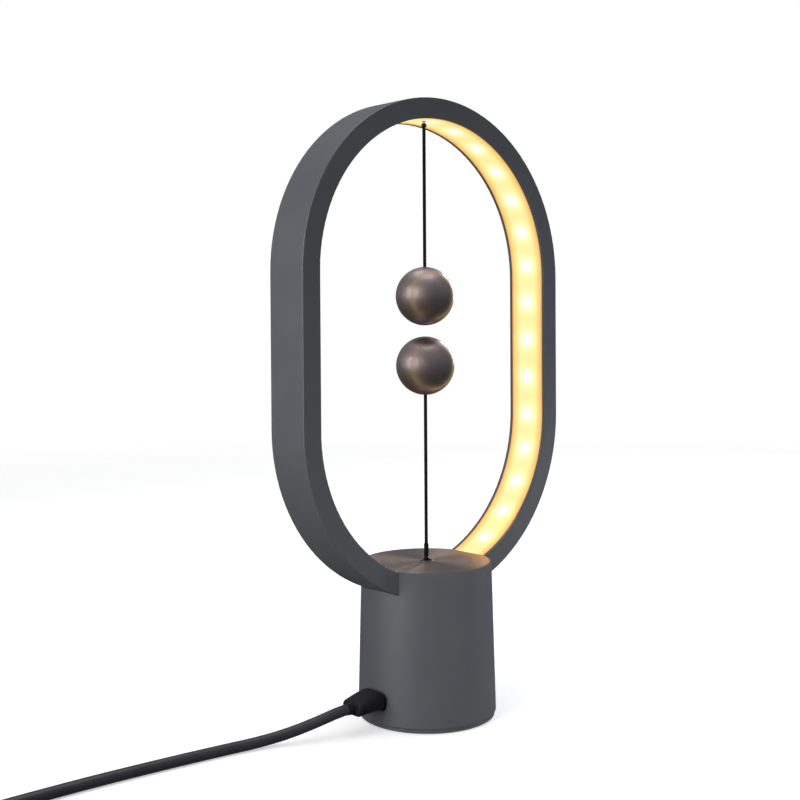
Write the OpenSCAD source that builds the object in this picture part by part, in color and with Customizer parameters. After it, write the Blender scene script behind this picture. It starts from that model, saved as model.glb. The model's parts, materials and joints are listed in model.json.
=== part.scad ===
// Balance lamp: a lit stadium-shaped ring on a small round base. Two magnet balls hang
// and stand on black cords, and pulling them together works a switch in the base.
// Millimetres, +Z up, origin at the middle of the base's underside, ring in the XZ plane.

/* [Ring] */
// Overall width of the ring
ring_w = 155; // [150:1:175]
// Overall height of the ring
ring_h = 220; // [205:1:250]
// Thickness of the ring, from its outer to its inner face
ring_t = 9; // [8.5:0.5:12]
// Depth of the ring, front to back
ring_depth = 22; // [22:1:26]
// How far the ring reaches down below the base's metal top
ring_sink = 14.6; // [13.5:0.1:15.5]
// Thickness of the ring's outer wall
ring_wall = 1.6; // [1.2:0.1:2]
// Width of the dark lip on each side of the diffuser
ring_lip = 1.4; // [1:0.1:2]
// Rounding of the ring's edges
ring_edge = 0.5; // [0.3:0.1:0.6]

/* [Light] */
// Thickness of the diffuser
diffuser_t = 1.4; // [1:0.1:2]
// How far the diffuser lies below the ring's inner face
diffuser_sunk = 0.2; // [0.1:0.05:0.5]
// Width of the light strip
strip_w = 10; // [8:1:12]
// Thickness of the light strip
strip_t = 0.3; // [0.2:0.05:0.5]
// Distance from one light chip to the next along the strip
led_pitch = 18.22; // [16:0.1:20]
// Place of the first light chip, from the top of the ring
led_first = 2.6; // [2.5:0.1:4]
// Length of a light chip along the strip
led_l = 2.8; // [2:0.1:3]
// Width of a light chip across the strip
led_w = 3.5; // [2.8:0.1:5]
// Height of a light chip
led_h = 0.8; // [0.6:0.1:1.2]

/* [Base] */
// Height of the base's metal top above the table
base_h = 68.4; // [62:0.1:76]
// Diameter of the base at its foot
base_foot_d = 61.8; // [58:0.1:68]
// How much wider the base is at its foot than at its top
base_taper = 3.4; // [2:0.1:4]
// Wall thickness of the base
base_wall = 2.4; // [2:0.1:2.8]
// Thickness of the metal disc on top
disc_t = 1.2; // [1:0.1:1.6]
// Width of the thin rim round the metal disc
rim_w = 0.7; // [0.6:0.05:1]
// Height of the table under the base plate
plate_z = 0.4; // [0.3:0.1:0.6]
// Thickness of the base plate
plate_t = 1.6; // [1.4:0.1:2]
// How far the base plate's edge stands back from the wall
plate_back = 0.7; // [0.5:0.1:1]
// How far the foot pad stands back from the base's edge
pad_back = 3.4; // [3:0.1:6]
// Thickness of the foot pad
pad_t = 0.85; // [0.8:0.05:0.9]
// Thickness of the steel weight
weight_t = 6; // [4:0.5:6.5]

/* [Balls and cords] */
// Diameter of a magnet ball
ball_d = 26.2; // [24:0.1:28]
// Gap between the two balls
ball_gap = 4.9; // [4:0.1:8]
// Height of the middle of that gap above the base's metal top
ball_mid = 103.1; // [97:0.1:110]
// Wall thickness of a ball
ball_wall = 1.6; // [1.2:0.1:2]
// Diameter of the magnet in a ball
magnet_d = 16; // [12:0.5:16]
// Thickness of the magnet in a ball
magnet_t = 4; // [3:0.5:5]
// Diameter of the black cords
string_d = 1.5; // [1.2:0.1:1.6]
// Diameter of the bead that a cord turns on
bead_d = 2.4; // [2.2:0.1:2.6]
// Diameter of the sleeve at the foot of the lower cord
sleeve_d = 2.1; // [1.9:0.1:2.2]
// Length of that sleeve
sleeve_l = 5.5; // [4:0.5:7]
// Bore of the eyelet in the metal disc
eyelet_d = 4.2; // [4:0.1:4.4]

/* [Switch] */
// Distance from the lower cord to the lever's pin
lever_arm = 15; // [14.5:0.5:16]
// Width of the lever
lever_w = 8; // [7:0.5:9]
// Thickness of the lever
lever_t = 1.2; // [1:0.1:1.5]
// Diameter of the lever's pin
pin_d = 1.8; // [1.6:0.1:2]
// Diameter of the pull collar on the cord
collar_d = 8; // [6:0.5:9]
// Length of the micro switch
switch_l = 8; // [7:0.5:8]
// Width of the micro switch
switch_w = 6; // [5:0.5:6.5]
// Height of the micro switch
switch_h = 3.6; // [3.4:0.1:3.8]
// Diameter of the switch's button
button_d = 2.4; // [2:0.1:2.6]

/* [Power lead] */
// Height of the power socket above the table
socket_z = 11.5; // [11.4:0.1:13]
// Width of the plug's body
plug_w = 11.2; // [10.5:0.1:12]
// Height of the plug's body
plug_h = 6; // [5.5:0.1:7]
// Diameter of the power lead
lead_d = 4.6; // [4:0.1:4.8]
// Inner radius of the wound-up lead's smallest turn, at its middle
coil_in_r = 20.4; // [18.6:0.1:22]

/* [Board and screws] */
// Thickness of the control board
board_t = 1.2; // [1:0.1:1.6]
// Shank diameter of the larger screws
screw_d = 2.4; // [2:0.1:2.6]
// Head diameter of the larger screws
screw_head_d = 4; // [3.8:0.1:4.4]
// Shank diameter of the board's screws
small_screw_d = 1.9; // [1.6:0.1:2]
// Length of the base's screws
base_screw_l = 10; // [8:0.5:11]
// Length of the chassis' outer screws
chassis_screw_l = 7.5; // [6:0.5:8]
// Length of the screws that hold the ring
ring_screw_l = 9; // [8:0.1:9.5]

/* [Hidden] */

// Clearances
fit = 0.05;      // between pieces that are pressed or glued together
gap = 0.1;       // between covers and the pieces round them
slot_gap = 0.15; // round the ring where it passes the base
hang_gap = 0.3;  // under and over what moves
eps = 0.01;      // overlap inside one solid
through = 40;    // length of cuts that go right through

// Ring
ring_z = base_h - ring_sink;
ring_r = ring_w / 2;
ring_in_r = ring_r - ring_t;
arc_low = ring_z + ring_r;
arc_high = ring_z + ring_h - ring_r;
ring_top_in = ring_z + ring_h - ring_t;
half_depth = ring_depth / 2;
channel_r = ring_r - ring_wall;

// Base
plate_top = plate_z + plate_t;
foot_r = base_foot_d / 2;
top_r = (base_foot_d - base_taper) / 2;
pad_d = base_foot_d - 2 * pad_back;
foot_edge = 0.5;
disc_low = base_h - disc_t;
ledge_z = disc_low - fit;
ledge_r = top_r - rim_w;
disc_r = ledge_r - gap;
board_low = socket_z - 1.3 - board_t;
board_top = board_low + board_t;

// Half angle, from straight down, at which the lit strip goes into the base
hide_angle = acos((arc_low - disc_low) / ring_in_r);
diffuser_end = hide_angle - 2;
strip_end = hide_angle - 6;

// Where the strip and its chips lie
strip_out_r = channel_r - fit;
strip_in_r = strip_out_r - strip_t;
strip_arc = strip_in_r * PI / 2;
strip_half = strip_arc + (arc_high - arc_low) + strip_in_r * (90 - strip_end) * PI / 180;
led_count = floor((strip_half - led_l - led_first) / led_pitch);

// Balls and cords
ball_r = ball_d / 2;
ball_mid_z = base_h + ball_mid;
upper_z = ball_mid_z + ball_gap / 2 + ball_r;
lower_z = ball_mid_z - ball_gap / 2 - ball_r;
bead_r = bead_d / 2;
string_r = string_d / 2;
upper_pivot = ring_top_in - hang_gap - bead_r;
eyelet_rim = 0.3;
lower_pivot = base_h + 0.8;
ferrule_r = 2.2;
ferrule_l = 3;
ball_in_r = ball_r - ball_wall;
ferrule_far = sqrt(pow(ball_in_r, 2) - pow(ferrule_r, 2)) - fit;
magnet_far = sqrt(pow(ball_in_r, 2) - pow(magnet_d / 2, 2)) - fit;

// Chassis, guide and switch
chassis_top = ring_z - 2.8;
chassis_t = 2;
chassis_low = chassis_top - chassis_t;
chassis_r = 21.5;
saddle_x = 14;
saddle_y = half_depth - gap;
saddle_h = 4.5;
chassis_boss_l = 9;
guide_r = 2.2;
guide_bore = string_r + 0.35;
guide_flange_r = 3.4;
guide_flange_t = 1.4;
guide_top = base_h - 2.9;
switch_x0 = 4;
switch_low = chassis_low - switch_h;
button_out = 0.9;
button_x = lever_arm / 2;
button_low = switch_low - button_out;
lever_top = button_low - hang_gap;
lever_low = lever_top - lever_t;
lever_z = (lever_top + lever_low) / 2;
lever_boss_r = pin_d / 2 + 1.1;
collar_top = lever_low - 0.5;
collar_t = 3.5;
ear_y0 = lever_w / 2 + 1.2;
ear_t = 1.8;
ear_half = 2;

// Screws
boss_r = 3.2;
boss_top = 16;
ring_screw_x = 8;
ring_screw_y = 7;
post_r = 1.9;
post_y = 6.6;
board_y = 8.5;
board_x0 = -sqrt(pow(inner_r(board_top) - 0.75, 2) - pow(board_y, 2));
board_x1 = -2;
post_far = -board_x0 - 2.4;
post_near = 5;

// Socket and plug, from outside to inside along the x axis
socket_w = 7.5;
socket_h = 2.6;
socket_wall = 0.3;
socket_l = 5.5;
socket_x0 = -inner_r(socket_z) - 0.2;
plug_front = socket_x0 - 0.4;
shell_wall = 0.25;
shell_gap = 0.1;
shell_w = socket_w - 2 * (socket_wall + shell_gap);
shell_h = socket_h - 2 * (socket_wall + shell_gap);
shell_l = socket_l - 0.9;
plug_l = 15.6;
plug_end = plug_front - plug_l;
relief_l = 3;
relief_end = plug_end - relief_l;
window_gap = 0.4;

// Power lead: from the plug down to the table, along it to a coil, and on to a second plug.
// Each row: distance from the plug, share of the drift to the back, share of the drop left
lead_r = lead_d / 2;
lead_lie = lead_r + 0.1;
lead_drift = 25;
lead_run = 182.5;
lead_rows = [
    [0, 0, 1], [2.2, 0.0044, 0.989], [6.5, 0.04, 0.9], [12.5, 0.14, 0.68],
    [19.5, 0.28, 0.418], [27.5, 0.44, 0.176], [37.5, 0.58, 0.033], [49.5, 0.68, 0],
    [72.5, 0.8, 0], [102.5, 0.92, 0], [132.5, 0.984, 0], [162.5, 1, 0],
    [lead_run - lead_d - fit, 1, 0],
];
lead_route = [for (row = lead_rows) [
    relief_end - fit - row[0], lead_drift * row[1],
    lead_lie + (socket_z - lead_lie) * row[2],
]];
coil_x = relief_end - lead_run;
coil_pitch = lead_d + 0.6;
coil_back = 2.75;   // turns from the outside to the smallest loop
coil_turns = 5.5;   // turns in all
coil_y = lead_drift - coil_in_r - coil_pitch * coil_back;
coil_rings = 24;    // rings in one turn
coil_sides = 6;

// The lead's end: distance from the coil, share of one layer's height, share of the plug's
far_relief_l = 7;
far_body_l = 20;
far_body_w = 16;
far_body_h = 8;
far_shell_l = 12;
far_shell_w = 12;
far_shell_h = 4.5;
far_shell_wall = 0.3;
tail_l = 38;
far_x = coil_x + lead_d + tail_l;
far_y = coil_y - coil_in_r - coil_pitch * (coil_turns - coil_back);
far_z = far_body_h / 2 + 0.2;
far_body_x = far_x + far_relief_l;
far_shell_x = far_body_x + far_body_l;
tail_rows = [
    [fit, 1, 0], [3.2, 0.972, 0], [8.5, 0.75, 0], [15, 0.365, 0], [21, 0.1, 0],
    [26, 0.01, 0.1], [31, 0, 0.5], [35.4, 0, 0.944], [tail_l - fit, 0, 1],
];
tail_route = [for (row = tail_rows) [
    coil_x + lead_d + row[0], far_y,
    lead_lie + coil_pitch * row[1] + (far_z - lead_lie) * row[2],
]];

// Inner radius of the base's wall at height z
function inner_r(z) =
    foot_r - base_wall - (foot_r - top_r) * (z - plate_top) / (base_h - plate_top);

boss_at = inner_r(boss_top) - boss_r + 0.6;
weight_r = boss_at - boss_r - 0.35;
ear_r = 2.6;
ear_at = inner_r(chassis_top) - ear_r - 0.2;

// ---- Helpers ----

function unit(v) = v / norm(v);
function flat_side(t) = unit(cross([0, 0, 1], t));
function drop_along(v, t) = unit(v - (v * t) * t);

// Directions along a route: the mean of the steps on both sides of each point
function tangents(p) = [
    for (i = [0:len(p) - 1])
        unit(p[min(i + 1, len(p) - 1)] - p[max(i - 1, 0)])
];

// One sideways direction for each point, carried along the route without twist
function sides_along(t, i, n) =
    i >= len(t) ? [] : concat([n], sides_along(t, i + 1,
        drop_along(n, t[min(i + 1, len(t) - 1)])));

// Smooth curve through the points of a route, cut into steps for each stretch
function curve_point(a, b, c, d, s) =
    ((2 * b) + (c - a) * s + (2 * a - 5 * b + 4 * c - d) * s * s
        + (3 * b - a - 3 * c + d) * s * s * s) / 2;
function curve(p, steps) = concat(
    [for (i = [0:len(p) - 2], k = [0:steps - 1])
        curve_point(p[max(i - 1, 0)], p[i], p[i + 1], p[min(i + 2, len(p) - 1)], k / steps)],
    [p[len(p) - 1]]
);

// Tube swept along points, its first sideways direction given
module tube(p, r, sides, side) {
    t = tangents(p);
    n = sides_along(t, 0, drop_along(side, t[0]));
    rings = len(p);
    turn = 180 / sides;
    points = [
        for (i = [0:rings - 1], k = [0:sides - 1])
            let (a = 360 * k / sides + turn, b = cross(t[i], n[i]))
            p[i] + r * (cos(a) * n[i] + sin(a) * b)
    ];
    walls = [
        for (i = [0:rings - 2], k = [0:sides - 1], half = [0, 1])
            let (k2 = (k + 1) % sides, a = i * sides + k, b = i * sides + k2,
                c = (i + 1) * sides + k2, d = (i + 1) * sides + k)
            half == 0 ? [a, c, b] : [a, d, c]
    ];
    first = [for (k = [1:sides - 2]) [0, k, k + 1]];
    base = (rings - 1) * sides;
    last = [for (k = [1:sides - 2]) [base, base + k + 1, base + k]];
    polyhedron(points, concat(walls, first, last), convexity = 6);
}

// Sharp outer corner of a profile, to be taken off and leave a round one
module corner(at, towards, r) {
    translate(at)
        mirror([towards[0] < 0 ? 1 : 0, 0])
            mirror([0, towards[1] < 0 ? 1 : 0])
                difference() {
                    translate([-1, -1]) square(1 + r);
                    translate([r, r]) circle(r = r, $fn = 32);
                }
}

// Rectangle from one corner to another
module box2(x0, x1, y0, y1) {
    translate([x0, y0]) square([x1 - x0, y1 - y0]);
}

// Rectangle with round corners, centred
module pill2(w, h, r) {
    square([w - 2 * r, h], center = true);
    square([w, h - 2 * r], center = true);
    for (sx = [-1, 1], sy = [-1, 1])
        translate([sx * (w / 2 - r), sy * (h / 2 - r)]) circle(r = r, $fn = 32);
}

// Carries a profile round the ring: its x is the radius, its y points to the front
module hoop() {
    translate([0, 0, arc_high]) rotate([90, 0, 0])
        rotate_extrude(angle = 180, $fn = 180) children();
    translate([0, 0, arc_low]) rotate([90, 0, 0]) rotate([0, 0, 180])
        rotate_extrude(angle = 180, $fn = 180) children();
    for (side = [0, 1])
        mirror([side, 0, 0]) translate([0, 0, arc_low])
            linear_extrude(arc_high - arc_low) mirror([0, 1]) children();
}

// Stadium plate in the plane of the ring
module stadium(r, depth) {
    translate([0, depth / 2, 0]) rotate([90, 0, 0]) linear_extrude(depth) {
        translate([0, arc_low]) circle(r = r, $fn = 180);
        translate([0, arc_high]) circle(r = r, $fn = 180);
        translate([-r, arc_low]) square([2 * r, arc_high - arc_low]);
    }
}

// Wedge below the lower arc's centre, where the light stops inside the base
module base_wedge(angle) {
    drop = ring_r + 5;
    translate([0, ring_depth, arc_low]) rotate([90, 0, 0]) linear_extrude(2 * ring_depth)
        polygon([[0, 0], [-drop * tan(angle), -drop], [drop * tan(angle), -drop]]);
}

// Puts a child at a distance along the strip from the top of the ring, facing inwards
module along_strip(t) {
    s = abs(t);
    side = t < 0 ? 1 : 0;
    high = s < strip_arc;
    straight = arc_high - arc_low;
    low = s > strip_arc + straight;
    angle = high ? 90 - s / strip_in_r * 180 / PI
        : low ? -(s - strip_arc - straight) / strip_in_r * 180 / PI : 0;
    z = high ? arc_high : low ? arc_low : arc_high - (s - strip_arc);
    mirror([side, 0, 0]) translate([0, 0, z]) rotate([0, -angle, 0])
        translate([strip_in_r, 0, 0]) children();
}

// Bar along the x axis with a profile whose x lies along y and whose y lies along z
module bar_x(x0, x1, z) {
    translate([x0, 0, z]) rotate([90, 0, 90]) linear_extrude(x1 - x0) children();
}

// Outline of a micro plug: the lower corners are cut away
module micro2(w, h, cut) {
    polygon([[-w / 2, h / 2], [-w / 2, -h / 2 + cut], [-w / 2 + cut, -h / 2],
        [w / 2 - cut, -h / 2], [w / 2, -h / 2 + cut], [w / 2, h / 2]]);
}

// Screw pointing up from z, with its head below
module screw(z, length, d, head_d, head_t) {
    translate([0, 0, z]) cylinder(h = length, d = d, $fn = 32);
    difference() {
        translate([0, 0, z - head_t]) cylinder(h = head_t, d = head_d, $fn = 32);
        translate([0, 0, z - head_t - eps]) cylinder(h = head_t / 2, d = d * 0.7, $fn = 6);
    }
}

module at_base_screws() {
    for (a = [45:90:315]) rotate([0, 0, a]) translate([boss_at, 0, 0]) children();
}

module at_chassis_screws() {
    for (s = [-1, 1]) translate([0, s * ear_at, 0]) children();
}

module at_ring_screws() {
    for (sx = [-1, 1], sy = [-1, 1])
        translate([sx * ring_screw_x, sy * ring_screw_y, 0]) children();
}

module at_posts() {
    for (x = [-post_far, -post_near], s = [-1, 1]) translate([x, s * post_y, 0]) children();
}

// ---- Base ----

module foot_pad() {
    color([0.12, 0.12, 0.13]) cylinder(h = pad_t, d = pad_d, $fn = 128);
}

module base_plate() {
    color([0.2, 0.2, 0.21]) {
        difference() {
            translate([0, 0, plate_z]) cylinder(h = plate_t, r = foot_r - plate_back, $fn = 128);
            translate([0, 0, -1]) cylinder(h = 1 + pad_t + fit, d = pad_d + 2 * gap, $fn = 128);
            at_base_screws() {
                cylinder(h = plate_top + 1, d = screw_d + 2 * gap, $fn = 32);
                cylinder(h = pad_t + fit + 0.7, d = screw_head_d + 2 * gap, $fn = 32);
            }
        }
        difference() {
            at_posts() translate([0, 0, plate_top - eps])
                cylinder(h = board_low - plate_top + eps, r = post_r, $fn = 48);
            at_posts() translate([0, 0, plate_top + 1])
                cylinder(h = board_low, d = small_screw_d + 2 * fit, $fn = 32);
        }
    }
}

module base_weight() {
    color([0.55, 0.56, 0.58]) difference() {
        translate([0, 0, plate_top + fit]) cylinder(h = weight_t, r = weight_r, $fn = 96);
        at_posts() cylinder(h = board_low + weight_t, r = post_r + 0.4, $fn = 48);
    }
}

module base_housing() {
    color([0.36, 0.37, 0.39]) difference() {
        union() {
            rotate_extrude($fn = 180) {
                polygon([
                    [foot_r - foot_edge, plate_top], [foot_r, plate_top + foot_edge],
                    [top_r, base_h - rim_w / 2], [ledge_r, base_h - rim_w / 2],
                    [ledge_r, ledge_z], [inner_r(ledge_z), ledge_z],
                    [inner_r(plate_top), plate_top],
                ]);
                translate([top_r - rim_w / 2, base_h - rim_w / 2])
                    circle(r = rim_w / 2, $fn = 32);
            }
            at_base_screws() translate([0, 0, plate_top])
                cylinder(h = boss_top - plate_top, r = boss_r, $fn = 48);
            at_chassis_screws() translate([0, 0, chassis_top])
                cylinder(h = chassis_boss_l, r = boss_r, $fn = 48);
        }
        stadium(ring_r + slot_gap, ring_depth + 2 * slot_gap);
        at_base_screws() cylinder(h = boss_top - 2, d = screw_d + 2 * fit, $fn = 32);
        at_chassis_screws() translate([0, 0, chassis_top - 1])
            cylinder(h = chassis_boss_l - 1, d = screw_d + 2 * fit, $fn = 32);
        bar_x(-foot_r - 1, -inner_r(socket_z) + 3, socket_z)
            pill2(plug_w + 2 * window_gap, plug_h + 2 * window_gap, plug_h * 0.4);
    }
}

module base_screws() {
    color([0.7, 0.7, 0.72])
        at_base_screws() screw(pad_t + fit + 0.7, base_screw_l, screw_d, screw_head_d, 0.65);
}

module top_disc() {
    color([0.45, 0.41, 0.4]) difference() {
        translate([0, 0, disc_low]) cylinder(h = disc_t, r = disc_r, $fn = 180);
        difference() {
            stadium(ring_r + slot_gap, ring_depth + 2 * slot_gap);
            stadium(ring_in_r - slot_gap, ring_depth + 1);
        }
        translate([0, 0, disc_low - 1])
            cylinder(h = disc_t + 2, d = eyelet_d + 2 * 0.5, $fn = 48);
    }
}

module string_eyelet() {
    color([0.6, 0.6, 0.6]) rotate_extrude($fn = 64) difference() {
        union() {
            box2(eyelet_d / 2, eyelet_d / 2 + 0.45, disc_low - 0.3, base_h + eyelet_rim);
            box2(eyelet_d / 2, eyelet_d / 2 + 0.8, base_h, base_h + eyelet_rim);
        }
        corner([eyelet_d / 2 + 0.8, base_h + eyelet_rim], [-1, -1], 0.25);
        corner([eyelet_d / 2, base_h + eyelet_rim], [1, -1], 0.2);
    }
}

// ---- Ring ----

module ring_shell() {
    color([0.25, 0.26, 0.28]) difference() {
        union() {
            hoop() difference() {
                union() {
                    box2(channel_r, ring_r, -half_depth, half_depth);
                    box2(ring_in_r, ring_r, half_depth - ring_lip, half_depth);
                }
                corner([ring_r, half_depth], [-1, -1], ring_edge);
                corner([ring_r, -half_depth], [-1, 1], ring_edge);
                corner([ring_in_r, half_depth], [1, -1], ring_edge / 2);
            }
            intersection() {
                at_ring_screws() translate([0, 0, ring_z])
                    cylinder(h = ring_t - ring_wall, r = 2.4, $fn = 48);
                stadium(ring_r - ring_wall / 2, ring_depth);
            }
        }
        at_ring_screws() translate([0, 0, ring_z - 1])
            cylinder(h = ring_t - ring_wall, d = screw_d + 2 * fit, $fn = 32);
        translate([0, 0, ring_z - 1]) cylinder(h = ring_t, r = guide_r + gap, $fn = 48);
        translate([led_lead_x, 0, ring_z - 1]) cylinder(h = ring_t, r = 2, $fn = 48);
    }
}

module ring_cover() {
    color([0.24, 0.25, 0.27]) hoop() difference() {
        box2(ring_in_r, channel_r - gap, -half_depth, -half_depth + ring_lip);
        corner([ring_in_r, -half_depth], [1, 1], ring_edge / 2);
    }
}

module diffuser() {
    half = half_depth - ring_lip - gap;
    face = ring_in_r + diffuser_sunk;
    leg_t = 1.2;
    color([1, 0.9, 0.6]) difference() {
        hoop() {
            box2(face, face + diffuser_t, -half, half);
            box2(face, channel_r - gap, -half, -half + leg_t);
            box2(face, channel_r - gap, half - leg_t, half);
        }
        base_wedge(diffuser_end);
        translate([0, 0, ring_top_in - 5]) cylinder(h = ring_t, r = anchor_r + gap, $fn = 32);
    }
}

module led_strip() {
    color([0.93, 0.93, 0.9]) difference() {
        hoop() box2(strip_in_r, strip_out_r, -strip_w / 2, strip_w / 2);
        base_wedge(strip_end);
        translate([0, 0, ring_top_in]) cylinder(h = ring_t, r = anchor_r + gap, $fn = 32);
    }
}

module led_chips() {
    color([1, 0.85, 0.35]) for (k = [-led_count:led_count])
        along_strip(led_first + k * led_pitch)
            translate([-fit - led_h / 2, 0, 0]) cube([led_h, led_w, led_l], center = true);
}

anchor_r = string_r + 0.15;

module string_anchor() {
    color([0.1, 0.1, 0.1]) translate([0, 0, ring_top_in])
        cylinder(h = ring_t - ring_wall - fit, r = anchor_r, $fn = 32);
}

// ---- Chassis and switch ----

module chassis() {
    color([0.85, 0.85, 0.83]) difference() {
        union() {
            translate([0, 0, chassis_low]) cylinder(h = chassis_t, r = chassis_r, $fn = 96);
            at_chassis_screws() translate([0, 0, chassis_low])
                cylinder(h = chassis_t, r = ear_r, $fn = 48);
            translate([-ear_r, -ear_at, chassis_low]) cube([2 * ear_r, 2 * ear_at, chassis_t]);
            translate([-saddle_x, -saddle_y, chassis_top - eps])
                cube([2 * saddle_x, 2 * saddle_y, saddle_h]);
            for (s = [-1, 1])
                translate([lever_arm - ear_half, s * (ear_y0 + ear_t / 2) - ear_t / 2,
                    lever_z - ear_half])
                    cube([2 * ear_half, ear_t, chassis_low - lever_z + ear_half + eps]);
        }
        stadium(ring_r + fit, ring_depth + 2);
        translate([0, 0, chassis_low - 1]) cylinder(h = through, r = guide_r + fit, $fn = 48);
        at_ring_screws() translate([0, 0, chassis_low - 1])
            cylinder(h = through, d = screw_d + 2 * gap, $fn = 32);
        at_chassis_screws() translate([0, 0, chassis_low - 1])
            cylinder(h = through, d = screw_d + 2 * gap, $fn = 32);
        translate([led_lead_x, 0, chassis_low - 1]) cylinder(h = through, r = 2.2, $fn = 48);
        translate([lever_arm, 0, lever_z]) rotate([90, 0, 0])
            cylinder(h = through, d = pin_d + 2 * 0.02, center = true, $fn = 48);
    }
}

module chassis_screws() {
    color([0.7, 0.7, 0.72])
        at_chassis_screws() screw(chassis_low, chassis_screw_l, screw_d, screw_head_d, 1.5);
}

module ring_screws() {
    color([0.7, 0.7, 0.72])
        at_ring_screws() screw(chassis_low, ring_screw_l, screw_d, screw_head_d, 1.5);
}

module pull_guide() {
    color([0.95, 0.95, 0.93]) difference() {
        union() {
            translate([0, 0, chassis_low - guide_flange_t])
                cylinder(h = guide_top - chassis_low + guide_flange_t, r = guide_r, $fn = 64);
            translate([0, 0, chassis_low - guide_flange_t])
                cylinder(h = guide_flange_t, r = guide_flange_r, $fn = 64);
        }
        translate([0, 0, chassis_low - 3]) cylinder(h = through, r = guide_bore, $fn = 48);
    }
}

module lever_pin() {
    color([0.75, 0.75, 0.77]) translate([lever_arm, 0, lever_z]) rotate([90, 0, 0])
        cylinder(h = 2 * (ear_y0 + ear_t), d = pin_d, center = true, $fn = 48);
}

module micro_switch() {
    color([0.1, 0.1, 0.12]) difference() {
        translate([switch_x0, -switch_w / 2, switch_low])
            cube([switch_l, switch_w, switch_h]);
        translate([button_x, 0, switch_low - 1])
            cylinder(h = 3.6, d = button_d + 2 * fit, $fn = 48);
    }
}

module switch_button() {
    color([0.8, 0.2, 0.15]) translate([button_x, 0, button_low])
        cylinder(h = button_out + 1.6, d = button_d, $fn = 48);
}

module switch_lever() {
    color([0.8, 0.8, 0.82]) difference() {
        union() {
            translate([-5, -lever_w / 2, lever_low]) cube([lever_arm + 5, lever_w, lever_t]);
            translate([lever_arm, 0, lever_z]) rotate([90, 0, 0])
                cylinder(h = 2 * (ear_y0 - hang_gap), r = lever_boss_r, center = true,
                    $fn = 48);
        }
        translate([lever_arm, 0, lever_z]) rotate([90, 0, 0])
            cylinder(h = through, d = pin_d + 2 * fit, center = true, $fn = 48);
        translate([0, 0, lever_low - 1])
            cylinder(h = lever_t + 2, r = string_r + 1, $fn = 48);
    }
}

module inner_string() {
    color([0.08, 0.08, 0.08]) translate([0, 0, collar_top - collar_t + 0.5])
        cylinder(h = lower_pivot - bead_r - fit - collar_top + collar_t - 0.5,
            r = string_r, $fn = 32);
}

module pull_collar() {
    color([0.75, 0.6, 0.3]) difference() {
        union() {
            translate([0, 0, collar_top - collar_t])
                cylinder(h = collar_t - 1, d = collar_d, $fn = 64);
            translate([0, 0, collar_top - collar_t]) cylinder(h = collar_t, r = 2.4, $fn = 48);
        }
        translate([0, 0, collar_top - collar_t + 0.4])
            cylinder(h = collar_t, r = string_r + fit, $fn = 32);
    }
}

// ---- Electronics ----

led_lead_x = -18.5;
led_plug_h = 3.5;
switch_plug_x = board_x1 - 7.5;
switch_plug_y = 6.9;
switch_plug_h = 2;

module control_board() {
    color([0.1, 0.35, 0.2]) difference() {
        translate([board_x0, -board_y, board_low])
            cube([board_x1 - board_x0, 2 * board_y, board_t]);
        at_posts() cylinder(h = board_top + 1, d = small_screw_d + 2 * gap, $fn = 32);
    }
}

module board_parts() {
    color([0.15, 0.15, 0.16]) {
        translate([-12, 2.4, board_top]) cube([5, 4, 1.5]);
        translate([-11, -3.6, board_top]) cylinder(h = 3, r = 2.8, $fn = 48);
        translate([-5, 0, board_top]) cylinder(h = 7, r = 2.4, $fn = 48);
        translate([led_lead_x - 2, -3, board_top]) cube([4, 6, led_plug_h]);
        translate([switch_plug_x - 0.9, switch_plug_y - 1.4, board_top])
            cube([3, 2.8, switch_plug_h]);
    }
}

module board_screws() {
    color([0.7, 0.7, 0.72]) at_posts() mirror([0, 0, 1])
        screw(-board_top, board_t + 4.5, small_screw_d, 3.4, 1.1);
}

module usb_socket() {
    color([0.8, 0.8, 0.82]) difference() {
        bar_x(socket_x0, socket_x0 + socket_l, socket_z) micro2(socket_w, socket_h, 0.7);
        bar_x(socket_x0 - 1, socket_x0 + socket_l - socket_wall, socket_z)
            micro2(socket_w - 2 * socket_wall, socket_h - 2 * socket_wall, 0.6);
    }
}

module socket_tongue() {
    color([0.08, 0.08, 0.08])
        bar_x(socket_x0 + 0.8, socket_x0 + socket_l - socket_wall, socket_z)
            square([shell_w - 2 * shell_wall - 1.6, 0.6], center = true);
}

lead_wire_r = 0.45;

module led_leads() {
    end_angle = strip_end - 0.7;
    end_r = strip_in_r - 0.2;
    color([0.8, 0.15, 0.1]) for (s = [-1, 1]) {
        y = s * 1.1;
        low = board_top + led_plug_h;
        rise = ring_z - low;
        route = [
            [led_lead_x, y, low], [led_lead_x, y, low + rise * 0.3],
            [led_lead_x, y, low + rise * 0.65], [led_lead_x, y, ring_z + 0.5],
            [-end_r * sin(end_angle), y, arc_low - end_r * cos(end_angle) + 0.6],
        ];
        tube(curve(route, 4), lead_wire_r, 8, [1, 0, 0]);
    }
}

module switch_leads() {
    color([0.15, 0.15, 0.6]) for (s = [0, 1]) {
        x = switch_x0 + 1.6 + s * (switch_l - 3.2);
        top = switch_low + 1;
        low = board_top + switch_plug_h + fit;
        drop = top - low;
        end_x = switch_plug_x + s * 1.2;
        route = [
            [x, switch_w / 2 + fit, top], [x, switch_w / 2 + 3, top - 2],
            [x, switch_w / 2 + 4.5, low + drop * 0.64],
            [x - 3, switch_w / 2 + 4, low + drop * 0.26],
            [end_x + 2, switch_plug_y + 0.1, low + drop * 0.13],
            [end_x, switch_plug_y, low + 1.5], [end_x, switch_plug_y, low],
        ];
        tube(curve(route, 4), lead_wire_r, 8, [1, 0, 0]);
    }
}

// ---- Hanging ball ----

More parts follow.
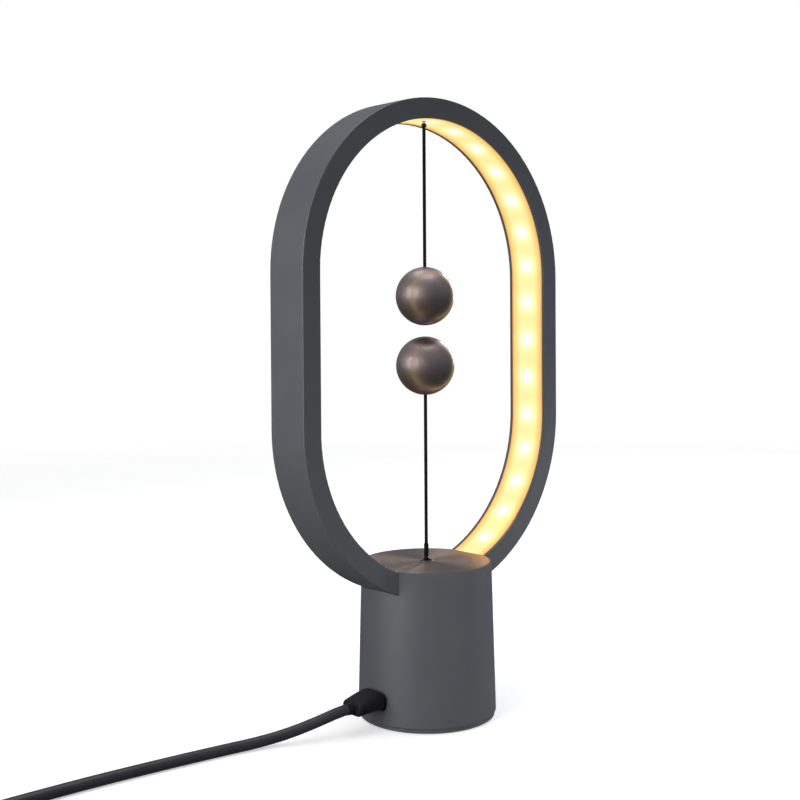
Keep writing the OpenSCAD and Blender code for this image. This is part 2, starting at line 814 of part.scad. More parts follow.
module ball(z, hole_up) {
    difference() {
        translate([0, 0, z]) sphere(r = ball_r, $fn = 128);
        translate([0, 0, z]) sphere(r = ball_in_r, $fn = 128);
        translate([0, 0, z]) mirror([0, 0, hole_up ? 0 : 1])
            cylinder(h = ball_d, r = string_r + fit, $fn = 32);
    }
}

module ferrule(z, hole_up) {
    translate([0, 0, z]) mirror([0, 0, hole_up ? 0 : 1])
        translate([0, 0, ferrule_far - ferrule_l]) difference() {
            cylinder(h = ferrule_l, r = ferrule_r, $fn = 48);
            translate([0, 0, 0.5]) cylinder(h = ferrule_l, r = string_r + fit, $fn = 32);
        }
}

module upper_bead() {
    color([0.1, 0.1, 0.1]) translate([0, 0, upper_pivot]) sphere(r = bead_r, $fn = 48);
}

module upper_string() {
    low = upper_z + ferrule_far - ferrule_l + 0.6;
    color([0.08, 0.08, 0.08]) translate([0, 0, low])
        cylinder(h = upper_pivot - bead_r - fit - low, r = string_r, $fn = 32);
}

module upper_ball() {
    color([0.5, 0.46, 0.45]) ball(upper_z, true);
}

module upper_ferrule() {
    color([0.7, 0.7, 0.7]) ferrule(upper_z, true);
}

module upper_magnet() {
    color([0.75, 0.75, 0.78]) translate([0, 0, upper_z - magnet_far])
        cylinder(h = magnet_t, d = magnet_d, $fn = 64);
}

// ---- Standing ball ----

module lower_bead() {
    color([0.1, 0.1, 0.1]) translate([0, 0, lower_pivot]) sphere(r = bead_r, $fn = 48);
}

module lower_string() {
    low = lower_pivot + bead_r + fit;
    high = lower_z - ferrule_far + ferrule_l - 0.6;
    color([0.08, 0.08, 0.08]) translate([0, 0, low])
        cylinder(h = high - low, r = string_r, $fn = 32);
}

module lower_sleeve() {
    color([0.06, 0.06, 0.06]) translate([0, 0, lower_pivot + bead_r + fit])
        difference() {
            cylinder(h = sleeve_l, d = sleeve_d, $fn = 32);
            translate([0, 0, -1]) cylinder(h = sleeve_l + 2, r = string_r + 0.02, $fn = 32);
        }
}

module lower_ball() {
    color([0.42, 0.38, 0.38]) ball(lower_z, false);
}

module lower_ferrule() {
    color([0.7, 0.7, 0.7]) ferrule(lower_z, false);
}

module lower_magnet() {
    color([0.75, 0.75, 0.78]) translate([0, 0, lower_z + magnet_far - magnet_t])
        cylinder(h = magnet_t, d = magnet_d, $fn = 64);
}

// ---- Power lead ----

module plug_shell() {
    color([0.8, 0.8, 0.82]) difference() {
        bar_x(plug_front + fit, socket_x0 + shell_l, socket_z) micro2(shell_w, shell_h, 0.6);
        bar_x(plug_front - 1, socket_x0 + shell_l + 1, socket_z)
            micro2(shell_w - 2 * shell_wall, shell_h - 2 * shell_wall, 0.5);
    }
}

module plug_body() {
    color([0.12, 0.12, 0.13]) {
        bar_x(plug_end + 1, plug_front, socket_z) pill2(plug_w, plug_h, plug_h * 0.4);
        bar_x(plug_end, plug_end + 1 + eps, socket_z)
            pill2(plug_w - 1.4, plug_h - 1.2, plug_h * 0.32);
    }
}

module plug_relief() {
    color([0.1, 0.1, 0.11]) translate([relief_end, 0, socket_z]) rotate([0, 90, 0])
        cylinder(h = relief_l, r1 = lead_r + 0.05, r2 = lead_r + 0.35, $fn = 48);
}

module power_lead() {
    color([0.15, 0.15, 0.17]) tube(curve(lead_route, 2), lead_r, 10, [0, 1, 0]);
}

// Turns of the coil: the radius shrinks to the smallest loop and grows again, and the
// lead climbs one layer in the half turn round that loop
function coil_climb(n) = max(0, min(1, 2 * (n - coil_back) + 0.5));
function coil_point(n) =
    let (a = 90 + 360 * n, r = coil_in_r + coil_pitch * abs(n - coil_back))
    [coil_x + r * cos(a), coil_y + r * sin(a), lead_lie + coil_pitch * coil_climb(n)];
coil_loops = [
    for (i = [0:coil_turns * coil_rings]) coil_point(i / coil_rings)
];
coil_last = coil_loops[len(coil_loops) - 1];
coil_path = concat(
    [coil_loops[0] + [lead_d, 0, 0]], coil_loops, [coil_last + [lead_d, 0, 0]]
);
coil_gap = min([
    for (i = [0:len(coil_path) - 1])
        for (j = [i + 12:1:len(coil_path) - 1]) norm(coil_path[i] - coil_path[j])
]) - lead_d;
echo(least_gap_between_turns = coil_gap);

module lead_coil() {
    color([0.16, 0.16, 0.18]) tube(coil_path, lead_r, coil_sides, [0, 1, 0]);
}

module lead_tail() {
    color([0.15, 0.15, 0.17]) tube(curve(tail_route, 2), lead_r, 10, [0, 1, 0]);
}

module far_relief() {
    color([0.1, 0.1, 0.11]) translate([far_x, far_y, far_z]) rotate([0, 90, 0])
        cylinder(h = far_relief_l, r1 = lead_r + 0.05, r2 = lead_r + 1.2, $fn = 48);
}

module far_body() {
    color([0.12, 0.12, 0.13]) translate([0, far_y, 0])
        bar_x(far_body_x, far_shell_x, far_z) pill2(far_body_w, far_body_h, 2);
}

module far_shell() {
    color([0.8, 0.8, 0.82]) translate([0, far_y, 0])
        bar_x(far_shell_x + fit, far_shell_x + far_shell_l, far_z) difference() {
            square([far_shell_w, far_shell_h], center = true);
            square([far_shell_w - 2 * far_shell_wall, far_shell_h - 2 * far_shell_wall],
                center = true);
        }
}

module far_tongue() {
    w = far_shell_w - 2 * far_shell_wall - 4 * fit;
    color([0.95, 0.95, 0.95]) translate([far_shell_x + fit, far_y - w / 2, far_z])
        cube([far_shell_l - 0.6, w, far_shell_h / 2 - far_shell_wall - fit]);
}

foot_pad();
base_plate();
base_weight();
base_housing();
base_screws();
top_disc();
string_eyelet();
ring_shell();
ring_cover();
diffuser();
led_strip();
led_chips();
string_anchor();
chassis();
chassis_screws();
ring_screws();
pull_guide();
lever_pin();
micro_switch();
control_board();
board_parts();
board_screws();
usb_socket();
socket_tongue();
led_leads();
switch_leads();
inner_string();
pull_collar();
switch_lever();
switch_button();
lower_bead();
lower_string();
lower_sleeve();
lower_ball();
lower_ferrule();
lower_magnet();
upper_bead();
upper_string();
upper_ball();
upper_ferrule();
upper_magnet();
plug_shell();
plug_body();
plug_relief();
power_lead();
lead_coil();
lead_tail();
far_relief();
far_body();
far_shell();
far_tongue();
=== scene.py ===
"""Balance lamp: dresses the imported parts, makes the plug's grip and the lead, lights the scene."""
import json
import math

import bmesh
import bpy
from mathutils import Matrix, Vector


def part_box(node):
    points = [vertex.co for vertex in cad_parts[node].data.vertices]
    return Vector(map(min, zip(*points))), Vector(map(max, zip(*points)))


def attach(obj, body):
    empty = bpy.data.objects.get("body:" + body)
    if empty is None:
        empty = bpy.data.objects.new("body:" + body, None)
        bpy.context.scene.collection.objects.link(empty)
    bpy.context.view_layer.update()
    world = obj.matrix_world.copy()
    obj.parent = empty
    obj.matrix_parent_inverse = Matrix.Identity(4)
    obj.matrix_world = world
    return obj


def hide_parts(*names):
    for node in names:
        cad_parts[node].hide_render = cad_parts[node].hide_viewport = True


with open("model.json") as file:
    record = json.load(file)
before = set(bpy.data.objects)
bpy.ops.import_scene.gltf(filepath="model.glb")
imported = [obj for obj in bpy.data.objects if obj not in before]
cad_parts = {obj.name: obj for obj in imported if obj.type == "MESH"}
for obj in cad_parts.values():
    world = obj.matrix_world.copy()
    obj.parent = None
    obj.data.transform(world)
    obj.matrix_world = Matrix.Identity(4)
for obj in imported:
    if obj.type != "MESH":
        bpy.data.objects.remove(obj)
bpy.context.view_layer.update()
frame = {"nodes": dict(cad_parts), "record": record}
NODES = frame["nodes"]
scene = bpy.context.scene
MM = 0.001

# ---------------------------------------------------------------- camera
# Fitted to the photograph: angles in radians, the place in metres, the lens in pixels
YAW, PITCH, ROLL = 0.742, -0.017, -0.006
EYE = Vector((-0.36915, -0.38600, 0.17545))
PICTURE, FOCAL, CENTRE_Y = 800, 1191.94, 342.517
SENSOR = 36

level_ahead = Vector((math.sin(YAW), math.cos(YAW), 0))
level_right = Vector((math.cos(YAW), -math.sin(YAW), 0))
upright = Vector((0, 0, 1))
ahead = level_ahead * math.cos(PITCH) + upright * math.sin(PITCH)
pitched_up = upright * math.cos(PITCH) - level_ahead * math.sin(PITCH)
cam_right = level_right * math.cos(ROLL) + pitched_up * math.sin(ROLL)
cam_up = pitched_up * math.cos(ROLL) - level_right * math.sin(ROLL)
turned = Matrix((cam_right, cam_up, -ahead)).transposed().to_4x4()

cam_data = bpy.data.cameras.new("camera")
cam_data.sensor_width = SENSOR
cam_data.lens = FOCAL / PICTURE * SENSOR
cam_data.shift_y = (CENTRE_Y - PICTURE / 2) / PICTURE
cam_data.clip_start = 0.01
cam_data.clip_end = 50
cam = bpy.data.objects.new("camera", cam_data)
scene.collection.objects.link(cam)
cam.matrix_world = Matrix.Translation(EYE) @ turned
scene.camera = cam

# ---------------------------------------------------------------- node helpers
NOISE_LOW, NOISE_HIGH = 0.3, 0.7  # nearly all values of a noise lie between these


class Tree:
    """Short names for building a node tree."""

    def __init__(self, tree):
        self.tree = tree
        self.tree.nodes.clear()

    def node(self, kind, **settings):
        n = self.tree.nodes.new(kind)
        for key, value in settings.items():
            setattr(n, key, value)
        return n

    def link(self, value, socket):
        """Sets a socket to another node's output, or to a plain value."""
        if isinstance(value, bpy.types.NodeSocket):
            self.tree.links.new(value, socket)
        else:
            socket.default_value = value

    def math(self, op, a, b=0.0, clamp=False):
        n = self.node("ShaderNodeMath", operation=op, use_clamp=clamp)
        self.link(a, n.inputs[0])
        self.link(b, n.inputs[1])
        return n.outputs[0]

    def coords(self):
        return self.node("ShaderNodeTexCoord").outputs["Object"]

    def xyz(self, vector):
        n = self.node("ShaderNodeSeparateXYZ")
        self.link(vector, n.inputs[0])
        return n.outputs[0], n.outputs[1], n.outputs[2]

    def vector(self, x, y, z):
        n = self.node("ShaderNodeCombineXYZ")
        for value, socket in zip((x, y, z), n.inputs):
            self.link(value, socket)
        return n.outputs[0]

    def from_axis(self, vector):
        """Distance from the z axis."""
        x, y, _ = self.xyz(vector)
        squares = [self.math("MULTIPLY", side, side) for side in (x, y)]
        return self.math("SQRT", self.math("ADD", *squares))

    def scaled(self, vector, scale):
        n = self.node("ShaderNodeMapping")
        self.link(vector, n.inputs["Vector"])
        n.inputs["Scale"].default_value = scale
        return n.outputs[0]

    def noise(self, vector, scale, detail=3.0, rough=0.5):
        n = self.node("ShaderNodeTexNoise")
        self.link(vector, n.inputs["Vector"])
        n.inputs["Scale"].default_value = scale
        n.inputs["Detail"].default_value = detail
        n.inputs["Roughness"].default_value = rough
        return n.outputs["Fac"]

    def spread(self, value, low, high, from_low=NOISE_LOW, from_high=NOISE_HIGH, smooth=False):
        """A number between low and high that follows a value, a noise if no range is given."""
        n = self.node("ShaderNodeMapRange", clamp=True)
        if smooth:
            n.interpolation_type = "SMOOTHSTEP"
        self.link(value, n.inputs["Value"])
        n.inputs["From Min"].default_value = from_low
        n.inputs["From Max"].default_value = from_high
        n.inputs["To Min"].default_value = low
        n.inputs["To Max"].default_value = high
        return n.outputs["Result"]

    def ramp(self, value, *stops):
        """A colour that follows a value from 0 to 1."""
        n = self.node("ShaderNodeValToRGB")
        self.link(value, n.inputs[0])
        points = n.color_ramp.elements
        while len(points) < len(stops):
            points.new(0.5)
        for point, (place, colour) in zip(points, stops):
            point.position = place
            point.color = (*colour, 1)
        return n.outputs[0]

    def tint(self, noise, low, high):
        """A colour between two others that follows a noise."""
        return self.ramp(noise, (NOISE_LOW, low), (NOISE_HIGH, high))

    def bump(self, height, strength, distance, normal=None):
        n = self.node("ShaderNodeBump")
        self.link(height, n.inputs["Height"])
        n.inputs["Strength"].default_value = strength
        n.inputs["Distance"].default_value = distance
        if normal is not None:
            self.link(normal, n.inputs["Normal"])
        return n.outputs["Normal"]

    def lathe_tangent(self):
        """Makes anisotropic highlights fan out from the z axis, as on turned metal."""
        return self.node("ShaderNodeTangent", direction_type="RADIAL", axis="Z").outputs[0]

    def background(self, colour):
        n = self.node("ShaderNodeBackground")
        self.link(colour, n.inputs["Color"])
        return n.outputs[0]

    def mixed(self, share, first, second):
        """The first shader where the share is 0, the second one where it is 1."""
        n = self.node("ShaderNodeMixShader")
        for value, socket in zip((share, first, second), n.inputs):
            self.link(value, socket)
        return n.outputs[0]

    def output(self, shader, kind="ShaderNodeOutputMaterial"):
        self.link(shader, self.node(kind).inputs["Surface"])

    def principled(self, **sockets):
        n = self.node("ShaderNodeBsdfPrincipled")
        for name, value in sockets.items():
            self.link(value, n.inputs[name.replace("_", " ")])
        self.output(n.outputs[0])


def material(name):
    m = bpy.data.materials.new(name)
    m.use_nodes = True
    return m, Tree(m.node_tree)


def grey(v):
    return (v, v, v)


def shade(colour, factor):
    return tuple(c * factor for c in colour)


def mottled(t, colour, spread, scale):
    """A colour that wanders a little, for the base colour."""
    noise = t.noise(t.coords(), scale, 4)
    return t.tint(noise, shade(colour, 1 - spread), shade(colour, 1 + spread))


# ---------------------------------------------------------------- materials
def satin_grey():
    """Painted plastic: a fine grain over a shallow orange peel."""
    m, t = material("satin_grey")
    at = t.coords()
    orange_peel = t.bump(t.noise(at, 420, 2), strength=0.1, distance=0.0001)
    t.principled(
        Base_Color=t.tint(t.noise(at, 24, 4), (0.083, 0.088, 0.098), (0.093, 0.098, 0.108)),
        Roughness=t.spread(t.noise(at, 60, 5), 0.42, 0.52),
        Normal=t.bump(t.noise(at, 3200, 2), strength=0.12, distance=0.00003, normal=orange_peel),
        Metallic=0.25, Specular_IOR_Level=0.5)
    return m


def turned_metal():
    """Disc turned on a lathe: fine rings round the z axis, and highlights that fan out."""
    m, t = material("turned_metal")
    radius = t.vector(t.from_axis(t.coords()), 0.0, 0.0)
    rings = t.noise(radius, 5200, 3, 0.7)
    broad = t.noise(radius, 520, 2)
    both = t.math("ADD", t.math("MULTIPLY", rings, 0.5), t.math("MULTIPLY", broad, 0.5))
    t.principled(
        Base_Color=t.tint(both, (0.26, 0.205, 0.18), (0.45, 0.355, 0.305)),
        Metallic=1.0, Roughness=0.4, Anisotropic=0.7, Tangent=t.lathe_tangent(),
        Normal=t.bump(rings, strength=0.3, distance=0.00004))
    return m


def ball_metal():
    """Turned ball with a thin clear coat: its rings lie one above the other."""
    m, t = material("ball_metal")
    at = t.coords()
    height = t.xyz(at)[2]
    rings = t.noise(t.vector(0.0, 0.0, height), 3000, 3, 0.7)
    t.principled(
        Base_Color=t.tint(t.noise(at, 90, 4), (0.35, 0.29, 0.285), (0.41, 0.345, 0.345)),
        Metallic=1.0, Roughness=t.spread(t.noise(at, 300, 4), 0.43, 0.49),
        Anisotropic=0.35, Tangent=t.lathe_tangent(),
        Normal=t.bump(rings, strength=0.08, distance=0.00003),
        Coat_Weight=0.4, Coat_Roughness=0.1)
    return m


def metal(name, colour, rough, scale=1500, brushed=(1, 1, 1)):
    """Bare metal with fine marks, finer along an axis where brushed is above 1."""
    m, t = material(name)
    marks = t.noise(t.scaled(t.coords(), brushed), scale, 3, 0.6)
    t.principled(
        Base_Color=t.tint(marks, shade(colour, 0.85), colour), Metallic=1.0,
        Roughness=t.spread(marks, rough * 0.8, rough * 1.25),
        Normal=t.bump(marks, strength=0.1, distance=0.00003))
    return m


def plastic(name, colour, rough, spread=0.08, bump=0.08, scale=1200, specular=0.5):
    """Moulded plastic: spread is how far its colour wanders, bump how deep its grain is."""
    m, t = material(name)
    at = t.coords()
    t.principled(
        Base_Color=mottled(t, colour, spread, 60),
        Roughness=t.spread(t.noise(at, scale / 6, 4), rough * 0.88, min(1, rough * 1.12)),
        Normal=t.bump(t.noise(at, scale, 3), strength=bump, distance=0.00005),
        Specular_IOR_Level=specular)
    return m


def cord_weave(name, colour, pitch, strands):
    """Fine round braid on a cord along z: two sets of strands that cross, the grooves between them
    darkened with painted shade.
    """
    m, t = material(name)
    x, y, z = t.xyz(t.coords())
    turn = t.math("ARCTAN2", y, x)
    climb = t.math("MULTIPLY", z, 2 * math.pi / pitch)
    sets = [
        t.math("SINE", t.math("ADD", t.math("MULTIPLY", turn, way * strands), climb))
        for way in (1, -1)
    ]
    height = t.math("MAXIMUM", *sets)
    raised = t.spread(height, 0, 1, -0.3, 1)
    # Painted shade: the colour falls to half in the grooves between the strands and is full on the
    # raised strands
    t.principled(
        Base_Color=t.ramp(raised, (0.0, shade(colour, 0.5)), (1.0, colour)),
        Roughness=0.75, Specular_IOR_Level=0.3,
        Normal=t.bump(height, strength=0.6, distance=0.00012))
    return m


def lead_jacket():
    m, t = material("lead_black")
    at = t.coords()
    t.principled(
        Base_Color=mottled(t, (0.023, 0.022, 0.027), 0.15, 120),
        Roughness=t.spread(t.noise(at, 260, 4), 0.36, 0.48),
        Normal=t.bump(t.noise(at, 1100, 3), strength=0.1, distance=0.00005),
        Specular_IOR_Level=0.5)
    return m


def lit_diffuser():
    """Milky strip lit from behind: a warm glow with a bright soft spot over each chip."""
    m, t = material("lit_diffuser")
    # Heights of the centres of the ring's two arcs, and the radius at which the chips sit
    arc_high, arc_low, strip_r = 196.3 * MM, 131.3 * MM, 75.55 * MM
    # The chips are counted along the strip, both ways from the first one, near the ring's top
    pitch, first = 18.22 * MM, 2.6 * MM
    spot_r, spot_light = 4.6 * MM, 0.62
    # Between the chips the light falls off from here to the strip's edges
    fall_from, fall_to, rest_light = 4.5 * MM, 9.6 * MM, 0.45

    x, y, z = t.xyz(t.coords())
    side = t.math("ABSOLUTE", x)
    across = t.math("ABSOLUTE", y)
    over = t.math("MAXIMUM", t.math("SUBTRACT", z, arc_high), 0.0)
    under = t.math("MAXIMUM", t.math("SUBTRACT", arc_low, z), 0.0)
    turn_high = t.math("MULTIPLY", t.math("ARCTAN2", side, over), strip_r)
    below_arc = t.math("MAXIMUM", t.math("SUBTRACT", arc_high, z), 0.0)
    straight = t.math("MINIMUM", below_arc, arc_high - arc_low)
    turn_low = t.math("MULTIPLY", t.math("ARCTAN2", under, side), strip_r)
    along = t.math("ADD", t.math("ADD", turn_high, straight), turn_low)
    along = t.math("MULTIPLY", along, t.math("SIGN", x))

    place = t.math("DIVIDE", t.math("SUBTRACT", along, first), pitch)
    off = t.math("MULTIPLY", t.math("SUBTRACT", place, t.math("ROUND", place)), pitch)
    squares = [
        t.math("POWER", t.math("DIVIDE", distance, spot_r), 2.0)
        for distance in (t.math("ABSOLUTE", off), across)
    ]
    spot = t.math("EXPONENT", t.math("MULTIPLY", t.math("ADD", *squares), -1.0))
    rest = t.math("MULTIPLY", t.spread(across, 1.0, 0.0, fall_from, fall_to), rest_light)
    light = t.math("ADD", t.math("MULTIPLY", spot, spot_light), rest, clamp=True)
    wander = t.spread(t.noise(t.coords(), 180, 3), -0.02, 0.02)
    colour = t.ramp(
        t.math("ADD", light, wander), (0.0, (0.60, 0.27, 0.045)), (0.16, (0.90, 0.54, 0.12)),
        (0.4, (0.98, 0.76, 0.26)), (0.7, (1.0, 0.90, 0.46)), (1.0, (1.0, 1.0, 0.9)))
    t.principled(
        Base_Color=(0.16, 0.14, 0.1, 1), Roughness=0.5,
        Emission_Color=colour, Emission_Strength=1.0)
    return m


def lit_chip():
    m, t = material("lit_chip")
    t.principled(
        Base_Color=mottled(t, (0.9, 0.75, 0.3), 0.05, 400), Roughness=0.4,
        Emission_Color=(1.0, 0.85, 0.5, 1), Emission_Strength=2.0)
    return m


PLASTICS = {
    "plug_black": dict(colour=(0.006, 0.0056, 0.0075), rough=0.5, spread=0.12, bump=0.12,
                       scale=1600, specular=0.32),
    "pad_rubber": dict(colour=grey(0.03), rough=0.85, spread=0.15, bump=0.3,
                       scale=700, specular=0.3),
    "dark_plastic": dict(colour=(0.068, 0.07, 0.077), rough=0.5, spread=0.1, bump=0.15,
                         scale=1500),
    "white_plastic": dict(colour=(0.72, 0.72, 0.69), rough=0.45, spread=0.03),
    "strip_white": dict(colour=(0.82, 0.81, 0.76), rough=0.5, spread=0.03),
    "red_button": dict(colour=(0.5, 0.05, 0.03), rough=0.3, spread=0.05),
    "red_wire": dict(colour=(0.5, 0.03, 0.02), rough=0.4, spread=0.06),
    "blue_wire": dict(colour=(0.03, 0.05, 0.35), rough=0.4, spread=0.06),
    "board_green": dict(colour=(0.02, 0.13, 0.055), rough=0.35, spread=0.2, bump=0.1, scale=800),
}
METALS = {
    "raw_steel": dict(colour=(0.52, 0.53, 0.55), rough=0.35, scale=900, brushed=(1, 8, 1)),
    "screw_steel": dict(colour=(0.6, 0.6, 0.62), rough=0.28),
    "eyelet_metal": dict(colour=(0.17, 0.16, 0.155), rough=0.25),
    "contact_steel": dict(colour=(0.65, 0.65, 0.66), rough=0.25, scale=1200, brushed=(8, 1, 1)),
    "collar_brass": dict(colour=(0.68, 0.5, 0.22), rough=0.3, brushed=(1, 1, 6)),
    "black_bead": dict(colour=grey(0.04), rough=0.4),
    "magnet_nickel": dict(colour=(0.68, 0.66, 0.62), rough=0.18),
}
FINISH = {
    "satin_grey": satin_grey(),
    "turned_metal": turned_metal(),
    "ball_metal": ball_metal(),
    "lit_diffuser": lit_diffuser(),
    "lit_chip": lit_chip(),
    "black_cord": cord_weave("black_cord", (0.006, 0.006, 0.0065), pitch=0.0022, strands=4),
    "lead_black": lead_jacket(),
}
FINISH.update({name: plastic(name, **looks) for name, looks in PLASTICS.items()})
FINISH.update({name: metal(name, **looks) for name, looks in METALS.items()})

for part in frame["record"]["subparts"]:
    for holder in NODES[part["node"]].material_slots:
        holder.material = FINISH[part["material_slot"]]

# ---------------------------------------------------------------- plug
# Moulded grip: narrow in the base's window, wide before the wall, flat end face with the lead.
# Each row: place on the x axis in metres; width, height, and how far it sits above the socket's
# axis, in millimetres
low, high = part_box("plug_body")
MID_Z = (low[2] + high[2]) / 2
SECTIONS = [
    (high[0], 10.2, 5.0, 0), (high[0] - 0.2 * MM, 10.9, 5.7, 0),
    (high[0] - 0.6 * MM, 11.2, 6.0, 0), (-31.2 * MM, 11.2, 6.0, 0),
    (-31.3 * MM, 12.3, 6.7, 1.1), (-31.55 * MM, 13.2, 7.3, 1.35),
    (-32.1 * MM, 13.6, 7.6, 1.4), (-35.0 * MM, 13.5, 7.4, 1.25),
    (-38.0 * MM, 13.1, 7.0, 0.9), (-41.0 * MM, 12.5, 6.4, 0.45),
    (low[0] + 0.6 * MM, 12.0, 5.8, 0), (low[0] + 0.2 * MM, 11.8, 5.6, -0.05),
    (low[0], 11.2, 5.0, -0.05),
]
CORNER_STEPS = 7
CORNER_SHARE = 0.42  # radius of the corners over the section's height


def rounded(width, height):
    """Points round a pill-like rectangle, in the yz plane."""
    r = CORNER_SHARE * height
    points = []
    for turn, sy, sz in ((0, 1, 1), (90, -1, 1), (180, -1, -1), (270, 1, -1)):
        for k in range(CORNER_STEPS):
            a = math.radians(turn + 90 * k / (CORNER_STEPS - 1))
            points.append((sy * (width / 2 - r) + r * math.cos(a),
                           sz * (height / 2 - r) + r * math.sin(a)))
    return points


def shell(name, sections, mid_z):
    """Closed skin through the sections, its two ends filled."""
    mesh = bmesh.new()
    rings = []
    for x, width, height, rise in sections:
        rings.append([mesh.verts.new((x, y * MM, mid_z + (z + rise) * MM))
                      for y, z in rounded(width, height)])
    count = len(rings[0])
    for a, b in zip(rings, rings[1:]):
        for k in range(count):
            mesh.faces.new((a[k], a[(k + 1) % count], b[(k + 1) % count], b[k]))
    mesh.faces.new(rings[0])
    mesh.faces.new(rings[-1])
    bmesh.ops.recalc_face_normals(mesh, faces=mesh.faces)
    data = bpy.data.meshes.new(name)
    mesh.to_mesh(data)
    mesh.free()
    for face in data.polygons:
        face.use_smooth = len(face.vertices) == 4
    piece = bpy.data.objects.new(name, data)
    scene.collection.objects.link(piece)
    return piece


grip = shell("plug_grip", SECTIONS, MID_Z)
grip.data.materials.append(FINISH["plug_black"])
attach(grip, "usb_lead")
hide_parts("plug_body")

# ---------------------------------------------------------------- power lead
# The same route as the solids, in millimetres: out of the plug, down to the table, the coil,
# up to the far plug
LEAD_D = 4.6
LIE = 2.4  # height of the lead's middle where it lies on the table
RELIEF_END = -47.4568
FIT = 0.05
RUN, DRIFT, SOCKET_Z = 182.5, 25.0, 11.5
# Each row: distance from the plug, share of the drift, share of the way up to the socket
ROWS = [
    (0, 0, 1), (2.2, 0.0044, 0.989), (6.5, 0.04, 0.9), (12.5, 0.14, 0.68),
    (19.5, 0.28, 0.418), (27.5, 0.44, 0.176), (37.5, 0.58, 0.033), (49.5, 0.68, 0),
    (72.5, 0.8, 0), (102.5, 0.92, 0), (132.5, 0.984, 0), (162.5, 1, 0),
]
# The coil winds inwards on the table for COIL_BACK turns, and outwards again on top of itself
COIL_PITCH = LEAD_D + 0.6
COIL_IN, COIL_BACK, COIL_TURNS, POINTS_PER_TURN = 20.4, 2.75, 5.5, 36
COIL_X = RELIEF_END - RUN
COIL_Y = DRIFT - COIL_IN - COIL_PITCH * COIL_BACK
FAR_Y = COIL_Y - COIL_IN - COIL_PITCH * (COIL_TURNS - COIL_BACK)
FAR_Z = 4.2
# Each row: distance from the coil, share of the coil's upper layer, share of the far plug's height
TAIL = [
    (3.2, 0.972, 0), (8.5, 0.75, 0), (15, 0.365, 0), (21, 0.1, 0),
    (26, 0.01, 0.1), (31, 0, 0.5), (35.4, 0, 0.944), (37.95, 0, 1),
]
STEPS = 4  # pieces of the curve between two points of a route


def curved(p):
    """The smooth curve of the CAD source through the points of a route."""
    out = []
    for i in range(len(p) - 1):
        a, b, c, d = p[max(i - 1, 0)], p[i], p[i + 1], p[min(i + 2, len(p) - 1)]
        for k in range(STEPS):
            s = k / STEPS
            out.append((2 * b + (c - a) * s + (2 * a - 5 * b + 4 * c - d) * s * s
                        + (3 * b - a - 3 * c + d) * s ** 3) / 2)
    return out + [p[-1]]


def coil_point(n):
    """The lead's middle after n turns of the coil."""
    a = math.radians(90 + 360 * n)
    r = COIL_IN + COIL_PITCH * abs(n - COIL_BACK)
    climb = max(0, min(1, 2 * (n - COIL_BACK) + 0.5))
    return Vector((COIL_X + r * math.cos(a), COIL_Y + r * math.sin(a), LIE + COIL_PITCH * climb))


route = [Vector((RELIEF_END - FIT - d, DRIFT * drift, LIE + (SOCKET_Z - LIE) * height))
         for d, drift, height in ROWS]
line = curved(route + [Vector((COIL_X + LEAD_D, DRIFT, LIE))])
line += [coil_point(i / POINTS_PER_TURN) for i in range(int(COIL_TURNS * POINTS_PER_TURN) + 1)]
start = line[-1] + Vector((LEAD_D, 0, 0))
tail = [Vector((start.x + d, FAR_Y, LIE + COIL_PITCH * upper + (FAR_Z - LIE) * far))
        for d, upper, far in TAIL]
line += curved([start] + tail)
line = [p * MM for p in line]

lead_data = bpy.data.curves.new("lead", "CURVE")
lead_data.dimensions = "3D"
spline = lead_data.splines.new("POLY")
spline.points.add(len(line) - 1)
for point, p in zip(spline.points, line):
    point.co = (*p, 1)
spline.use_smooth = True
lead_data.bevel_depth = LEAD_D / 2 * MM
lead_data.bevel_resolution = 6
lead_data.use_fill_caps = True
lead_data.materials.append(FINISH["lead_black"])
lead = bpy.data.objects.new("lead", lead_data)
scene.collection.objects.link(lead)
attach(lead, "usb_lead")
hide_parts("power_lead", "lead_coil", "lead_tail")

# ---------------------------------------------------------------- floor
# White table that fades out into the white surroundings. It takes the lamp's shadow, but throws
# neither light nor shadow on the lamp, whose underside gets the light of the surroundings
FLOOR_R = 6
FLOOR_GLOW = 0.40
FADE_FROM, FADE_TO = 0.45, 1.3

bpy.ops.mesh.primitive_circle_add(vertices=96, radius=FLOOR_R, fill_type="NGON", location=(0, 0, 0))
floor = bpy.context.object
floor.name = "floor"
floor_material, t = material("floor")
matt = t.node("ShaderNodeBsdfDiffuse")
t.link(t.tint(t.noise(t.coords(), 9, 3), grey(0.845), grey(0.86)), matt.inputs["Color"])
glow = t.node("ShaderNodeEmission")
glow.inputs["Strength"].default_value = FLOOR_GLOW
table = t.node("ShaderNodeAddShader")
t.link(matt.outputs[0], table.inputs[0])
t.link(glow.outputs[0], table.inputs[1])
clear = t.node("ShaderNodeBsdfTransparent")
fade = t.spread(t.from_axis(t.coords()), 0.0, 1.0, FADE_FROM, FADE_TO, smooth=True)
t.output(t.mixed(fade, table.outputs[0], clear.outputs[0]))
floor.data.materials.append(floor_material)
floor.visible_diffuse = False
floor.visible_glossy = False
floor.visible_shadow = False

# ---------------------------------------------------------------- surroundings
# Colours by height, from straight below (0) over the horizon (0.5) to straight above (1)
FILL = ((0.0, (0.46, 0.46, 0.47)), (0.45, (0.21, 0.215, 0.23)), (1.0, (0.20, 0.21, 0.23)))
SHEEN = ((0.0, (0.05, 0.045, 0.045)), (0.42, (0.10, 0.10, 0.105)), (0.55, (0.15, 0.16, 0.19)),
         (0.75, (0.24, 0.25, 0.28)), (1.0, (0.32, 0.33, 0.35)))

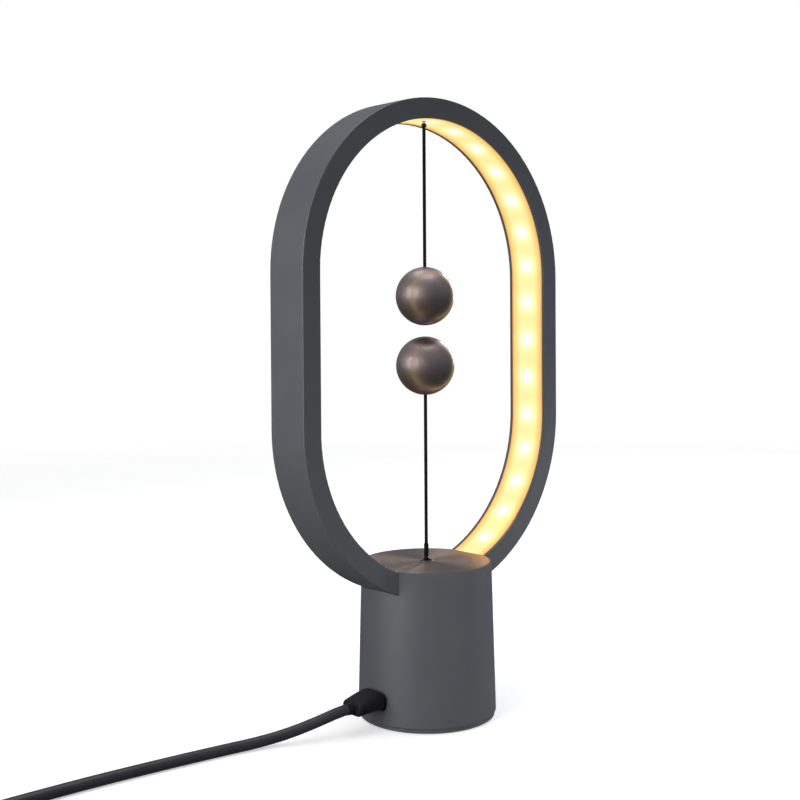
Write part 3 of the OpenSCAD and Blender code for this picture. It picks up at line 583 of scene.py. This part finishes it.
world = bpy.data.worlds.new("world")
world.use_nodes = True
scene.world = world
w = Tree(world.node_tree)
ray = w.node("ShaderNodeLightPath").outputs
direction = w.node("ShaderNodeTexCoord").outputs["Generated"]
height = w.spread(w.xyz(direction)[2], 0, 1, -1, 1)
fill = w.background(w.ramp(height, *FILL))
sheen = w.background(w.ramp(height, *SHEEN))
white = w.background((1, 1, 1, 1))
lighting = w.mixed(ray["Is Glossy Ray"], fill, sheen)
w.output(w.mixed(ray["Is Camera Ray"], lighting, white), "ShaderNodeOutputWorld")


# ---------------------------------------------------------------- lights
def softbox(name, place, aim, size, power, colour=(1, 1, 1), gloss=True):
    """Rectangular light, sizes in metres and power in watts; gloss: shiny surfaces mirror it."""
    data = bpy.data.lights.new(name, "AREA")
    data.shape = "RECTANGLE"
    data.size, data.size_y = size
    data.energy = power
    data.color = colour
    light = bpy.data.objects.new(name, data)
    scene.collection.objects.link(light)
    look = Vector(aim) - Vector(place)
    light.rotation_euler = look.to_track_quat("-Z", "Y").to_euler()
    light.location = place
    light.visible_camera = False
    light.visible_glossy = gloss


softbox("key", place=(-1.10, 0.10, 0.40), aim=(0, 0, 0.15), size=(0.8, 0.74), power=8.5,
        colour=(1.0, 0.955, 0.96))
softbox("key_fill", place=(-1.12, 0.02, 0.38), aim=(0, 0, 0.12), size=(0.8, 0.7), power=5.8,
        colour=(1.0, 0.97, 0.97), gloss=False)
softbox("top", place=(0.1, 0.1, 1.5), aim=(0, 0, 0), size=(1.2, 1.2), power=9)
softbox("low_right", place=(0.26, -0.17, 0.05), aim=(0, 0, 0.06), size=(0.12, 0.12), power=0.6,
        gloss=False)
softbox("low_front", place=(-0.02, -0.21, 0.045), aim=(0, 0, 0.03), size=(0.2, 0.07), power=0.17,
        gloss=False)
# What the lit strip throws on the disc
softbox("strip_glow", place=(0.045, 0.0, 0.088), aim=(0.022, -0.004, 0.0625),
        size=(0.018, 0.018), power=0.002, colour=(1.0, 0.36, 0.03))
softbox("back", place=(0.95, 0.40, 0.42), aim=(0, 0, 0.1), size=(0.16, 0.6), power=2.6)

scene.view_settings.view_transform = "Standard"
scene.view_settings.look = "None"
